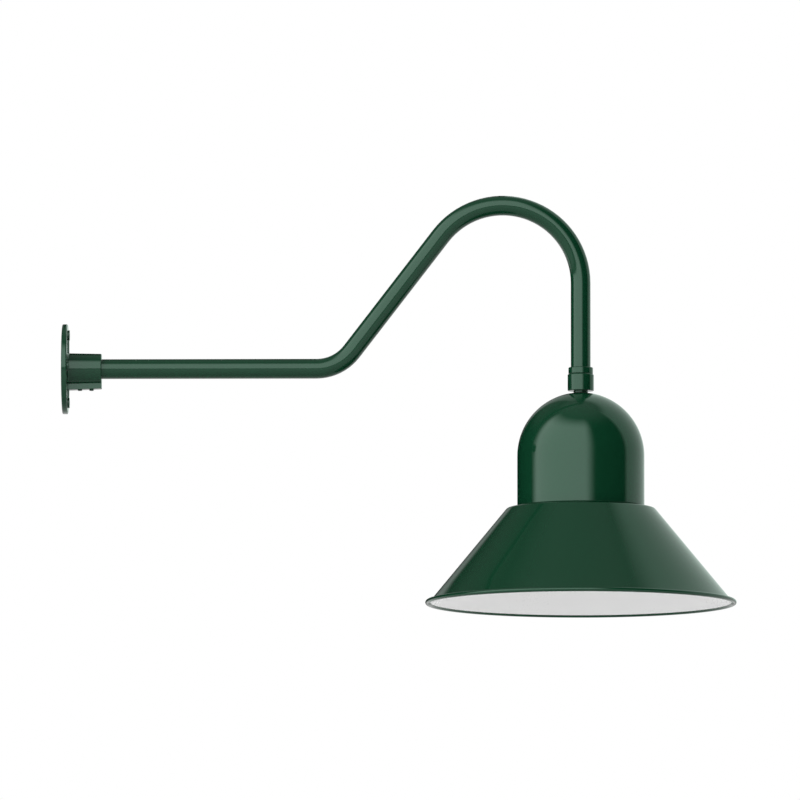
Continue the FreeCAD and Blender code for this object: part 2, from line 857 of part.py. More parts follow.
def cone_outside(height, depth):
    """Radius of the cone at a height, this far under its outer face, square to it. The cone's inner
    face runs on into the outside of the curl, so its place follows from the curl's centre."""
    offset = size("curl_radius") - size("sheet") + depth
    return curl_x - (offset + sine(cone_slope) * (height - curl_z)) / cosine(cone_slope)


def shoulder_corner(height, depth, turn_radius):
    """The two ends of the round between the flat shoulder and the cone."""
    corner = cone_outside(height, depth)
    back = turn_radius * tangent((90 - cone_slope) / 2)
    return (corner - back, height), (corner + back * sine(cone_slope), height - back * cosine(cone_slope))


def make_shade_cone():
    """Spun shade: flat shoulder, cone, and a rim rolled outwards into an almost closed curl."""
    body = new_body("shade_cone", at_reach=True)
    sheet_wall = size("sheet")
    curl = size("curl_radius")
    inside_curl = curl - sheet_wall
    turn = size("shoulder_round")
    outer_flat, outer_cone = shoulder_corner(shoulder_z, 0, turn)
    inner_flat, inner_cone = shoulder_corner(shoulder_z - sheet_wall, sheet_wall, turn - sheet_wall)

    # The curl goes on past the bottom and round the outside, and ends this much short of the cone.
    stop = 180 - cone_slope - size("curl_gap") / inside_curl * (180 / math.pi)

    def on_curl(radius, angle):
        return (curl_x + radius * cosine(angle), curl_z + radius * sine(angle))

    tangent_angle = 180 + cone_slope
    bottom_angle = size("curl_lowest_angle")
    section = new_sketch(body, "section", "XZ_Plane")
    outline(section, [
        (throat_radius, shoulder_z),
        outer_flat,
        (*outer_cone, -turn),
        on_curl(inside_curl, tangent_angle),
        (*on_curl(inside_curl, bottom_angle), inside_curl),
        (*on_curl(inside_curl, stop), inside_curl),
        on_curl(curl, stop),
        (*on_curl(curl, bottom_angle), -curl),
        (*on_curl(curl, tangent_angle), -curl),
        inner_cone,
        (*inner_flat, turn - sheet_wall),
        (throat_radius, shoulder_z - sheet_wall),
    ])
    revolve(body, section)
    holes = new_sketch(body, "screw_hole", "XY_Plane", lift=shoulder_z - sheet_wall - size("cut_over"))
    circle(holes, shade_screw_radius, 0, screw_hole_radius)
    cut = extrude(body, holes, sheet_wall + 2 * size("cut_over"), "Pocket", backwards=True)
    pattern_round(body, [cut], "Z_Axis", size("shade_screw_count"))
    return body


def make_shade_screws():
    """Pan-head screws up through the shade's top and the dome's flange."""
    body = new_body("shade_screws", at_reach=True, pieces=4)
    seat = shoulder_z - size("sheet")
    head = size("pan_diameter") / 2
    shank = size("shade_screw_diameter") / 2
    section = new_sketch(body, "section", "XZ_Plane", across=shade_screw_radius)
    outline(section, [
        (0, seat - size("pan_height")),
        (head - size("pan_chamfer"), seat - size("pan_height")),
        (head, seat - size("pan_chamfer")),
        (head, seat),
        (shank, seat),
        (shank, seat + size("shade_screw_length")),
        (0, seat + size("shade_screw_length")),
    ])
    turned = revolve(body, section)
    pattern_round(body, [turned], "Z_Axis", size("shade_screw_count"))
    return body


def make_shade_nuts():
    body = new_body("shade_nuts", at_reach=True, pieces=4)
    section = new_sketch(body, "section", "XY_Plane", lift=dome_bottom + size("dome_wall"),
                         across=shade_screw_radius)
    polygon(section, size("small_nut_flats"))
    circle(section, 0, 0, size("shade_screw_diameter") / 2 + size("running_play"))
    nut = extrude(body, section, size("small_nut_height"))
    pattern_round(body, [nut], "Z_Axis", size("shade_screw_count"))
    return body


# ---------------------------------------------------------------- lamp holder


def make_holder_bracket():
    """Steel strap bent to a U: its back hangs on the pipe, its feet carry the lamp holder."""
    body = new_body("holder_bracket", at_reach=True)
    half = size("bracket_span") / 2
    strip = size("bracket_sheet")
    bend = size("bracket_bend")
    tight = bend - strip
    top = first_nut_bottom
    foot_top = holder_top + strip
    tip = half - size("bracket_foot")
    profile = new_sketch(body, "profile", "XZ_Plane")
    outline(profile, [
        (-(half - bend), top, -bend),
        (half - bend, top),
        (half, top - bend, -bend),
        (half, holder_top + bend),
        (half - bend, holder_top, -bend),
        (tip, holder_top),
        (tip, foot_top),
        (half - bend, foot_top),
        (half - strip, holder_top + bend, tight),
        (half - strip, top - bend),
        (half - bend, top - strip, tight),
        (-(half - bend), top - strip),
        (-(half - strip), top - bend, tight),
        (-(half - strip), holder_top + bend),
        (-(half - bend), foot_top, tight),
        (-tip, foot_top),
        (-tip, holder_top),
        (-(half - bend), holder_top),
        (-half, holder_top + bend, -bend),
        (-half, top - bend),
    ])
    extrude(body, profile, size("bracket_width"), both_ways=True)
    over = size("cut_over")
    hole = new_sketch(body, "top_holes", "XY_Plane", lift=top - strip - over)
    circle(hole, 0, 0, pipe_radius + size("bracket_hole_play"))
    earth_radius = size("earth_screw_diameter") / 2 + size("screw_play")
    circle(hole, size("bracket_earth_place"), 0, earth_radius)
    extrude(body, hole, strip + 2 * over, "Pocket", backwards=True)
    feet = new_sketch(body, "foot_holes", "XY_Plane", lift=holder_top - over)
    for side in (-1, 1):
        circle(feet, size("holder_screw_pitch") / 2 * side, 0, screw_hole_radius)
    extrude(body, feet, strip + 2 * over, "Pocket", backwards=True)
    return body


def make_bracket_earth_screw():
    """Green screw under the bracket's top, for the earth lead."""
    body = new_body("bracket_earth_screw", at_reach=True)
    seat = bracket_top_bottom
    head = size("earth_head_diameter") / 2
    shank = size("earth_screw_diameter") / 2
    chamfer = size("earth_head_chamfer")
    place = size("bracket_earth_place")
    section = new_sketch(body, "section", "XZ_Plane", across=place)
    outline(section, [
        (0, bracket_earth_head),
        (head - chamfer, bracket_earth_head),
        (head, bracket_earth_head + chamfer),
        (head, seat),
        (shank, seat),
        (shank, seat + size("bracket_earth_length")),
        (0, seat + size("bracket_earth_length")),
    ])
    revolve(body, section)
    slot = new_sketch(body, "slot", "XY_Plane", lift=bracket_earth_head)
    half = size("slot_width") / 2
    block(slot, place - head, place + head, -half, half)
    extrude(body, slot, size("slot_depth"), "Pocket", backwards=True)
    return body


def make_holder_screws():
    """Two pan-head screws down through the bracket's feet into the porcelain."""
    body = new_body("holder_screws", at_reach=True, pieces=2)
    seat = holder_top + size("bracket_sheet")
    head = size("pan_diameter") / 2
    shank = size("shade_screw_diameter") / 2
    section = new_sketch(body, "section", "XZ_Plane", across=size("holder_screw_pitch") / 2)
    outline(section, [
        (0, seat + size("pan_height")),
        (head - size("pan_chamfer"), seat + size("pan_height")),
        (head, seat + size("pan_chamfer")),
        (head, seat),
        (shank, seat),
        (shank, seat - size("holder_screw_length")),
        (0, seat - size("holder_screw_length")),
    ])
    turned = revolve(body, section)
    pattern_round(body, [turned], "Z_Axis", 2)
    return body


def make_lamp_holder():
    """Porcelain body, open below for the threaded shell, with pockets above for the terminals."""
    body = new_body("lamp_holder", at_reach=True)
    radius = size("holder_diameter") / 2
    lip = size("holder_lip_diameter") / 2
    chamfer = size("holder_chamfer")
    bore = size("holder_bore") / 2
    play = size("holder_hole_play")
    section = new_sketch(body, "section", "XZ_Plane")
    outline(section, [
        (0, holder_top),
        (radius - chamfer, holder_top),
        (radius, holder_top - chamfer),
        (radius, holder_mouth + size("holder_lip_height") + chamfer),
        (lip, holder_mouth + size("holder_lip_height") - chamfer),
        (lip, holder_mouth + chamfer),
        (lip - chamfer, holder_mouth, -chamfer),
        (bore + chamfer, holder_mouth),
        (bore, holder_mouth + chamfer),
        (bore, holder_floor),
        (0, holder_floor),
    ])
    revolve(body, section)
    over = size("cut_over")
    near = terminal_near - size("end_play")
    half = size("terminal_width") / 2 + size("end_play")
    pocket = new_sketch(body, "terminal_pocket", "XY_Plane", lift=terminal_floor)
    block(pocket, -half, half, near, radius + over)
    cut = extrude(body, pocket, size("terminal_depth") + over, "Pocket", backwards=True)
    pattern_round(body, [cut], "Z_Axis", 2)
    depth = size("holder_screw_length")
    screws = new_sketch(body, "screw_hole", "XY_Plane", lift=holder_top - depth)
    circle(screws, size("holder_screw_pitch") / 2, 0, size("shade_screw_diameter") / 2 + play)
    cut = extrude(body, screws, depth + over, "Pocket", backwards=True)
    pattern_round(body, [cut], "Z_Axis", 2)
    depth = size("terminal_screw_length") + size("terminal_hole_over")
    screws = new_sketch(body, "terminal_hole", "XY_Plane", lift=terminal_floor - depth)
    circle(screws, 0, size("terminal_place"), size("terminal_screw_diameter") / 2 + play)
    cut = extrude(body, screws, depth + over, "Pocket", backwards=True)
    pattern_round(body, [cut], "Z_Axis", 2)
    rivets = new_sketch(body, "rivet_holes", "XY_Plane", lift=holder_floor - over)
    rivet = size("rivet_diameter") / 2 + play
    circle(rivets, 0, size("contact_place"), rivet)
    circle(rivets, 0, -shell_rivet_place, rivet)
    extrude(body, rivets, size("holder_floor") + 2 * over, "Pocket", backwards=True)
    return body


def make_lamp_shell():
    """Threaded metal shell, drawn at its thread's mean bore, with a narrower closed end."""
    body = new_body("lamp_shell", at_reach=True)
    wall = size("shell_wall")
    bore = size("lamp_thread") / 2
    neck = size("shell_neck") / 2
    step = shell_bottom + size("shell_thread_length")
    section = new_sketch(body, "section", "XZ_Plane")
    outline(section, [
        (bore, shell_bottom),
        (bore + wall, shell_bottom),
        (bore + wall, step + wall),
        (neck + wall, step + wall + size("shell_step")),
        (neck + wall, shell_top),
        (shell_ledge, shell_top),
        (shell_ledge, shell_top - wall),
        (neck, shell_top - wall),
        (neck, step + size("shell_step")),
        (bore, step),
    ])
    revolve(body, section)
    over = size("cut_over")
    hole = new_sketch(body, "rivet_hole", "XY_Plane", lift=shell_top - wall - over)
    circle(hole, 0, -shell_rivet_place, size("rivet_diameter") / 2 + size("shell_rivet_play"))
    extrude(body, hole, wall + 2 * over, "Pocket", backwards=True)
    return body


def make_rivets():
    """Two brass rivets: one holds the shell, the other the contact, each up to its terminal."""
    body = new_body("holder_rivets", at_reach=True, pieces=2)
    shank = size("rivet_diameter") / 2
    shell_seat = shell_top - size("shell_wall")
    seats = ((size("contact_place"), contact_rivet_seat), (-shell_rivet_place, shell_seat))
    height = size("rivet_head_height")
    for number, (place, seat) in enumerate(seats):
        head = new_sketch(body, f"head_{number}", "XY_Plane", lift=seat - height)
        circle(head, 0, place, shank + size("rivet_head_ledge"))
        extrude(body, head, height)
        pin = new_sketch(body, f"pin_{number}", "XY_Plane", lift=seat - height / 2)
        circle(pin, 0, place, shank)
        extrude(body, pin, terminal_floor - seat + height / 2)
    return body


def make_lamp_contact():
    """Sprung tongue under the lamp's centre contact. It turns a little about its rivet."""
    body = new_body("lamp_contact", at_reach=True)
    thick = size("contact_sheet")
    pivot = size("contact_place")
    far = pivot + size("contact_root")
    bend = pivot - size("contact_root")
    tip = pivot - size("contact_reach")
    profile = new_sketch(body, "profile", "YZ_Plane")
    outline(profile, [
        (far, contact_top),
        (bend, contact_top),
        (tip, contact_top - size("contact_drop")),
        (tip, contact_top - size("contact_drop") - thick),
        (bend, contact_top - thick),
        (far, contact_top - thick),
    ])
    extrude(body, profile, size("contact_width"), both_ways=True)
    over = size("cut_over")
    hole = new_sketch(body, "rivet_hole", "XY_Plane", lift=contact_top - thick - over)
    circle(hole, 0, pivot, size("rivet_diameter") / 2 + size("end_play"))
    extrude(body, hole, thick + 2 * over, "Pocket", backwards=True)
    return body


def make_terminal_plates():
    body = new_body("terminal_plates", at_reach=True, pieces=2)
    half = size("terminal_width") / 2
    plan = new_sketch(body, "plan", "XY_Plane", lift=terminal_floor)
    block(plan, -half, half, terminal_near, size("terminal_place") + half)
    circle(plan, 0, size("terminal_place"), size("terminal_screw_diameter") / 2 + size("holder_hole_play"))
    plate = extrude(body, plan, size("terminal_sheet"))
    pattern_round(body, [plate], "Z_Axis", 2)
    return body


def make_terminal_screws():
    body = new_body("terminal_screws", at_reach=True, pieces=2)
    seat = terminal_floor + size("terminal_sheet")
    top = terminal_screw_top
    head = size("terminal_head_diameter") / 2
    shank = size("terminal_screw_diameter") / 2
    section = new_sketch(body, "section", "YZ_Plane", across=size("terminal_place"))
    outline(section, [
        (0, top),
        (head - size("terminal_head_taper"), top),
        (head, seat + size("terminal_head_side")),
        (head, seat),
        (shank, seat),
        (shank, seat - size("terminal_screw_length")),
        (0, seat - size("terminal_screw_length")),
    ])
    turned = revolve(body, section)
    pattern_round(body, [turned], "Z_Axis", 2)
    return body


# ---------------------------------------------------------------- leads


def sweep_wire(name, wire, start, heading, at_reach=False):
    """A round lead along a path of straight runs and tangent arcs."""
    radius = SIZES["lead_diameter"] / 2
    section = Part.Wire([Part.makeCircle(radius, start, heading)])
    solid = wire.makePipeShell([section], True, False)
    expected = math.pi * radius * radius * wire.Length
    if abs(solid.Volume - expected) > VOLUME_SHARE * expected:
        raise ValueError(f"{name}: volume {solid.Volume:.1f} against {expected:.1f}")
    feature = doc.addObject("Part::Feature", name)
    feature.Label = name
    feature.Shape = solid
    if at_reach:
        feature.Placement = FreeCAD.Placement(FreeCAD.Vector(SIZES["reach"], 0, 0), FreeCAD.Rotation())
    return feature


def make_arm_lead(name, side):
    """A lead through the arm, from the wiring recess to the stem's end, beside the centre line."""
    aside = side * SIZES["lead_spread"]
    corners = arm_outline(size("recess_depth") - size("lead_tail"), stem_end)
    places = [FreeCAD.Vector(as_size(c[0]).number, aside, as_size(c[1]).number) for c in corners]
    edges = []
    for number in range(1, len(corners)):
        start, end = places[number - 1], places[number]
        if len(corners[number]) == 2:
            edges.append(Part.LineSegment(start, end).toShape())
            continue
        bulge = as_size(corners[number][2]).number
        flat = arc_between(FreeCAD.Vector(start.x, start.z, 0), FreeCAD.Vector(end.x, end.z, 0), bulge)
        middle = flat.value((flat.FirstParameter + flat.LastParameter) / 2)
        edges.append(Part.Arc(start, FreeCAD.Vector(middle.x, aside, middle.y), end).toShape())
    wire = Part.Wire(edges)
    return sweep_wire(name, wire, places[0], FreeCAD.Vector(1, 0, 0))


RUN_SHARE = 0.45
VOLUME_SHARE = 0.002


def rounded_wire(points):
    """Straight runs joined by tangent arcs, each taking up to its share of its two runs."""
    edges = []
    start = points[0]
    for before, corner, after in zip(points, points[1:], points[2:]):
        inward = (before - corner).normalize()
        outward = (after - corner).normalize()
        half_turn = (math.pi - inward.getAngle(outward)) / 2
        reach = RUN_SHARE * min((corner - before).Length, (after - corner).Length)
        radius = reach / math.tan(half_turn)
        first = corner + inward * reach
        last = corner + outward * reach
        bisector = (inward + outward).normalize()
        middle = corner + bisector * (radius / math.cos(half_turn) - radius)
        edges.append(Part.LineSegment(start, first).toShape())
        edges.append(Part.Arc(first, middle, last).toShape())
        start = last
    edges.append(Part.LineSegment(start, points[-1]).toShape())
    return Part.Wire(edges)


def make_holder_lead(name, side):
    """A lead from the coupling down through the pipe to its terminal on the lamp holder."""
    aside = side * SIZES["lead_spread"]
    beside = side * SIZES["terminal_place"]
    top = (stem_end - size("end_play")).number
    below_pipe = (pipe_bottom - size("lead_clear_of_pipe")).number
    above_holder = (holder_top + size("lead_clear_of_holder")).number
    half_way = (below_pipe + above_holder) / 2 - SIZES["lead_sag"]
    points = [
        FreeCAD.Vector(0, aside, top),
        FreeCAD.Vector(0, aside, below_pipe),
        FreeCAD.Vector(0, (aside + beside) / 2, half_way),
        FreeCAD.Vector(0, beside, above_holder),
        FreeCAD.Vector(0, beside, (terminal_screw_top + size("lead_end_gap")).number),
    ]
    wire = rounded_wire(points)
    return sweep_wire(name, wire, points[0], FreeCAD.Vector(0, 0, -1), at_reach=True)


def make_holder_earth_lead():
    """The earth lead comes down the pipe, turns and goes up to the screw under the bracket's top."""
    top = (stem_end - size("end_play")).number
    below_pipe = (pipe_bottom - size("lead_clear_of_pipe")).number
    across = SIZES["bracket_earth_place"]
    end = (bracket_earth_head - size("lead_end_gap")).number
    start = FreeCAD.Vector(0, 0, top)
    turn_start = FreeCAD.Vector(0, 0, below_pipe)
    turn_low = FreeCAD.Vector(across / 2, 0, below_pipe - across / 2)
    turn_end = FreeCAD.Vector(across, 0, below_pipe)
    wire = Part.Wire([
        Part.LineSegment(start, turn_start).toShape(),
        Part.Arc(turn_start, turn_low, turn_end).toShape(),
        Part.LineSegment(turn_end, FreeCAD.Vector(across, 0, end)).toShape(),
    ])
    return sweep_wire("holder_lead_green", wire, start, FreeCAD.Vector(0, 0, -1), at_reach=True)


# ---------------------------------------------------------------- the whole assembly


def make_all():
    make_wall_flange()
    make_flange_gasket()
    make_lock_screws()
    make_hub_seal()
    make_earth_screw()

    make_gooseneck_arm()
    make_arm_sleeve()
    make_arm_ferrule()
    for colour, side in (("black", 1), ("white", -1), ("green", 0)):
        make_arm_lead("arm_lead_" + colour, side)

    make_shade_coupling()
    make_grip_screws()
    gasket_edge = size("neck_diameter") / 2 - size("neck_gasket_inset")
    ring("neck_gasket", pipe_radius + size("running_play"), gasket_edge, -size("dome_top"), neck_bottom)
    ring("pipe_nipple", size("pipe_bore") / 2, pipe_radius, pipe_bottom, pipe_top)
    make_dome_housing()
    ring("dome_washer", pipe_radius + size("running_play"), size("washer_diameter") / 2,
         washer_bottom, dome_underside)
    make_pipe_nuts()

    seal_edge = size("dome_radius") - size("ring_gasket_inset")
    ring("ring_gasket", seal_edge - size("ring_gasket_width"), seal_edge, shoulder_z, dome_bottom)
    make_shade_cone()
    make_shade_screws()
    make_shade_nuts()

    make_holder_bracket()
    make_bracket_earth_screw()
    make_holder_screws()
    make_lamp_holder()
    make_lamp_shell()
    make_rivets()
    make_lamp_contact()
    make_terminal_plates()
    make_terminal_screws()
    make_holder_lead("holder_lead_black", 1)
    make_holder_lead("holder_lead_white", -1)
    make_holder_earth_lead()


def sub_parts():
    """The bodies, primitives and shapes that are sub-parts: one for each label."""
    kinds = ("PartDesign::Body", "Part::Torus", "Part::Feature")
    return [item for item in doc.Objects if item.TypeId in kinds]


make_all()
doc.recompute()
for item in doc.Objects:
    faults = [state for state in item.State if state in ("Invalid", "Error")]
    if faults:
        raise RuntimeError(f"{item.Label} is {faults}")
for item in sub_parts():
    if item.Shape.isNull() or not item.Shape.isValid():
        raise RuntimeError(f"{item.Label} has no valid shape")

os.makedirs("parts", exist_ok=True)
for item in sub_parts():
    item.Shape.exportStep(os.path.join("parts", item.Label + ".step"))
    box = item.Shape.optimalBoundingBox(False)
    print(f"{item.Label:22} solids {len(item.Shape.Solids)}  volume {item.Shape.Volume:10.1f}"
          f"  x {box.XMin:7.1f} {box.XMax:7.1f}  y {box.YMin:7.1f} {box.YMax:7.1f}"
          f"  z {box.ZMin:7.1f} {box.ZMax:7.1f}")
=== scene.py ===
"""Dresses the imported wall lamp.

Every CAD node gets a material. The spun shade, the threads, the screws and the nuts are modelled again
in finer form, each in the space of the node it stands for. Radii and heights are in millimetres, and
turned into metres where a point is made.
"""

import json
import math

import bmesh
import bpy
from mathutils import Matrix, Vector


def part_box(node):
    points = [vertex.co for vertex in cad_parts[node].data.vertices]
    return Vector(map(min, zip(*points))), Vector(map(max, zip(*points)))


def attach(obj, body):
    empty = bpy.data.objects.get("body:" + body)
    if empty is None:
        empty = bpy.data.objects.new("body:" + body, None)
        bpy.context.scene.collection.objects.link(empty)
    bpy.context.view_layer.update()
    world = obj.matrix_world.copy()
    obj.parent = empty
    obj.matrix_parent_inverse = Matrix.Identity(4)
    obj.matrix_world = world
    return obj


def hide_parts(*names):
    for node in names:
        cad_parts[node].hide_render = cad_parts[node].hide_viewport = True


MM = 0.001
UP = Vector((0, 0, 1))
DOWN = Vector((0, 0, -1))

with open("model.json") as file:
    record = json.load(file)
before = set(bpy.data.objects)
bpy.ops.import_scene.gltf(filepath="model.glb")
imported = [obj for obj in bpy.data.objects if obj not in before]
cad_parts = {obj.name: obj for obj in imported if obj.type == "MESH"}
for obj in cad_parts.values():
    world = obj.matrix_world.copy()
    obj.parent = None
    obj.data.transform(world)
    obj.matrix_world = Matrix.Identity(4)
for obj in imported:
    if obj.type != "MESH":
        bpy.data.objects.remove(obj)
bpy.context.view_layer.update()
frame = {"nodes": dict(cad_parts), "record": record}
nodes = frame["nodes"]
slot_of = {row["node"]: row["material_slot"] for row in frame["record"]["subparts"]}


def middle_of(name):
    """The middle of a CAD node, in metres."""
    low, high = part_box(name)
    return (low + high) / 2


SHADE_AXIS = Vector((middle_of("shade_cone").x, 0, 0))


# ---------------------------------------------------------------- node trees


# The places of a Mix node's colour sockets, whose names aren't unique.
MIX_FIRST, MIX_SECOND, MIX_RESULT = 6, 7, 2


class Nodes:
    """A node tree with short ways to add nodes and to join their sockets."""

    def __init__(self, tree):
        self.tree = tree

    def add(self, kind, label="", **settings):
        node = self.tree.nodes.new(kind)
        if label:
            node.name = node.label = label
        for name, value in settings.items():
            setattr(node, name, value)
        return node

    def join(self, source, target):
        self.tree.links.new(source, target)

    def feed(self, target, value):
        """A socket is joined, and a plain value is set."""
        if isinstance(value, bpy.types.NodeSocket):
            self.join(value, target)
        else:
            target.default_value = value

    def math(self, operation, *values, clamp=False):
        node = self.add("ShaderNodeMath", operation=operation, use_clamp=clamp)
        for socket, value in zip(node.inputs, values):
            self.feed(socket, value)
        return node.outputs[0]

    def product(self, first, *factors):
        for factor in factors:
            first = self.math("MULTIPLY", first, factor)
        return first

    def ramp(self, value, low, high, to_low=0.0, to_high=1.0, smooth=True):
        node = self.add("ShaderNodeMapRange", interpolation_type="SMOOTHSTEP" if smooth else "LINEAR")
        node.clamp = True
        self.feed(node.inputs["Value"], value)
        for name, number in (("From Min", low), ("From Max", high), ("To Min", to_low), ("To Max", to_high)):
            self.feed(node.inputs[name], number)
        return node.outputs["Result"]

    def mix(self, share, first, second):
        node = self.add("ShaderNodeMix", data_type="RGBA")
        self.feed(node.inputs[0], share)
        self.feed(node.inputs[MIX_FIRST], first)
        self.feed(node.inputs[MIX_SECOND], second)
        return node.outputs[MIX_RESULT]


# ---------------------------------------------------------------- camera


LENS = 800
SENSOR = 36
VIEW_AZIMUTH = 1.1
VIEW_ELEVATION = -5.6
VIEW_WIDTH = 1.0454
VIEW_CENTRE = Vector((0.4413, 0, -0.0412))


def aim(azimuth, elevation):
    """From the object towards a place round it: azimuth 0 is the photograph's side, 90 is +X."""
    turn, lift = math.radians(azimuth), math.radians(elevation)
    return Vector((math.sin(turn) * math.cos(lift), -math.cos(turn) * math.cos(lift), math.sin(lift)))


def make_camera():
    """A long lens from a little below, as in the photograph."""
    data = bpy.data.cameras.new("long_lens")
    data.lens = LENS
    data.sensor_width = SENSOR
    data.clip_start = 0.5
    data.clip_end = 120
    camera = bpy.data.objects.new("long_lens", data)
    bpy.context.scene.collection.objects.link(camera)
    back = aim(VIEW_AZIMUTH, VIEW_ELEVATION)
    camera.location = VIEW_CENTRE + back * (VIEW_WIDTH * LENS / SENSOR)
    camera.rotation_mode = "QUATERNION"
    camera.rotation_quaternion = (-back).to_track_quat("-Z", "Y")
    bpy.context.scene.camera = camera


# ---------------------------------------------------------------- light


# An edge of light is an angle and its softness in degrees. Azimuth 0 is the camera's side and 90 is +X.
# Elevation 0 is level and 90 is overhead.
FRONT_LEVEL = 2.6
FRONT_LEFT, FRONT_RIGHT, FRONT_TOP = (-93, 9), (18, 11), (58, 14)

BACK_LEVEL = 0.88
BACK_START, BACK_TOP = (91, 5), (66, 10)
BACK_TINT = (0.84, 1.0, 0.92, 1.0)

STRIP_SHARE = 0.45
STRIP_START, STRIP_END, STRIP_FOOT = (-175, 3), (-158, 4), (14, 8)

CEILING_LEVEL = 0.34
CEILING_FOOT = (61, 17)

WALL_SHARE = 0.36
WALL_START, WALL_END, WALL_FOOT = (-172, 6), (-100, 20), (32, 12)

GROUND_LEVEL = 0.95
GROUND_SHARE_STRAIGHT_DOWN = 0.45
GROUND_TOP = (-4, 6)
HORIZON = (0, 1)
WHITE = (1, 1, 1, 1)


def over(tree, angle, edge):
    """0 under an edge and 1 over it."""
    middle, soft = edge
    return tree.ramp(angle, middle - soft, middle + soft)


def under(tree, angle, edge):
    middle, soft = edge
    return tree.ramp(angle, middle - soft, middle + soft, 1.0, 0.0)


def make_studio_light():
    """A bright card in front and to the left, a dim and faintly green one behind on the right with a
    narrow strip on the left, a dim ceiling that comes lower on the left, and light from the ground."""
    world = bpy.data.worlds.new("studio")
    world.use_nodes = True
    bpy.context.scene.world = world
    world.node_tree.nodes.clear()
    tree = Nodes(world.node_tree)
    parts = tree.add("ShaderNodeSeparateXYZ")
    tree.join(tree.add("ShaderNodeTexCoord").outputs["Generated"], parts.inputs[0])
    east, north, up = parts.outputs
    azimuth = tree.math("DEGREES", tree.math("ARCTAN2", east, tree.math("MULTIPLY", north, -1.0)))
    elevation = tree.math("DEGREES", tree.math("ARCSINE", up))
    above = over(tree, elevation, HORIZON)
    below = tree.math("SUBTRACT", 1.0, above)

    front = tree.product(over(tree, azimuth, FRONT_LEFT), under(tree, azimuth, FRONT_RIGHT),
                         under(tree, elevation, FRONT_TOP))
    strip = tree.product(over(tree, azimuth, STRIP_START), under(tree, azimuth, STRIP_END),
                         over(tree, elevation, STRIP_FOOT), STRIP_SHARE)
    back = tree.math("ADD", over(tree, azimuth, BACK_START), strip)
    back = tree.product(back, under(tree, elevation, BACK_TOP))
    wall = tree.product(over(tree, azimuth, WALL_START), under(tree, azimuth, WALL_END),
                        over(tree, elevation, WALL_FOOT), WALL_SHARE)
    ceiling = tree.math("MAXIMUM", over(tree, elevation, CEILING_FOOT), wall)
    ground = tree.product(tree.ramp(elevation, -90, 0, GROUND_SHARE_STRAIGHT_DOWN, 1.0, smooth=False),
                          under(tree, elevation, GROUND_TOP), GROUND_LEVEL)

    level = tree.product(ceiling, CEILING_LEVEL)
    level = tree.math("MAXIMUM", level, tree.product(front, FRONT_LEVEL))
    level = tree.math("MAXIMUM", level, tree.product(back, BACK_LEVEL))
    level = tree.math("ADD", tree.product(level, above), tree.product(ground, below))
    soft_light = tree.add("ShaderNodeBackground", "soft_light")
    tree.join(tree.mix(tree.product(back, above), WHITE, BACK_TINT), soft_light.inputs["Color"])
    tree.join(level, soft_light.inputs["Strength"])
    show_behind(tree, soft_light)
    world.cycles.sampling_method = "MANUAL"
    world.cycles.sample_map_resolution = 1024


def show_behind(tree, soft_light):
    """The camera sees plain white, and everything else sees the light."""
    backdrop = tree.add("ShaderNodeBackground", "backdrop")
    backdrop.inputs["Color"].default_value = WHITE
    choice = tree.add("ShaderNodeMixShader")
    tree.join(tree.add("ShaderNodeLightPath").outputs["Is Camera Ray"], choice.inputs[0])
    tree.join(soft_light.outputs[0], choice.inputs[1])
    tree.join(backdrop.outputs[0], choice.inputs[2])
    tree.join(choice.outputs[0], tree.add("ShaderNodeOutputWorld").inputs["Surface"])


# ---------------------------------------------------------------- floor


FLOOR_RADIUS = 30
FLOOR_CENTRE = (0.44, 0, -1.2)


def make_floor():
    """A wide pale floor. The camera looks through it from below."""
    mesh = bpy.data.meshes.new("floor")
    shape = bmesh.new()
    bmesh.ops.create_circle(shape, cap_ends=True, segments=96, radius=FLOOR_RADIUS)
    bmesh.ops.translate(shape, verts=shape.verts, vec=FLOOR_CENTRE)
    shape.to_mesh(mesh)
    shape.free()
    floor = bpy.data.objects.new("floor", mesh)
    bpy.context.scene.collection.objects.link(floor)
    floor.visible_glossy = False
    material, tree, shader = new_material("pale_floor")
    grain = tree.add("ShaderNodeTexNoise")
    grain.inputs["Scale"].default_value = 3.0
    tree.join(object_place(tree), grain.inputs["Vector"])
    tree.join(tree.mix(grain.outputs["Fac"], (0.9, 0.9, 0.9, 1), (0.94, 0.94, 0.94, 1)),
              shader.inputs["Base Color"])
    shader.inputs["Roughness"].default_value = 0.9
    hidden = tree.product(tree.add("ShaderNodeNewGeometry").outputs["Backfacing"],
                          tree.add("ShaderNodeLightPath").outputs["Is Camera Ray"])
    choice = tree.add("ShaderNodeMixShader")
    tree.join(hidden, choice.inputs[0])
    tree.join(shader.outputs[0], choice.inputs[1])
    tree.join(tree.add("ShaderNodeBsdfTransparent").outputs[0], choice.inputs[2])
    tree.join(choice.outputs[0], tree.tree.nodes["finish"].inputs["Surface"])
    mesh.materials.append(material)


# ---------------------------------------------------------------- shared effects


def new_material(name):
    material = bpy.data.materials.new(name)
    material.use_nodes = True
    material.node_tree.nodes.clear()
    tree = Nodes(material.node_tree)
    shader = tree.add("ShaderNodeBsdfPrincipled", "surface")
    output = tree.add("ShaderNodeOutputMaterial", "finish")
    tree.join(shader.outputs[0], output.inputs["Surface"])
    return material, tree, shader


def object_place(tree):
    return tree.add("ShaderNodeTexCoord").outputs["Object"]


FLOAT, VECTOR = "NodeSocketFloat", "NodeSocketVector"


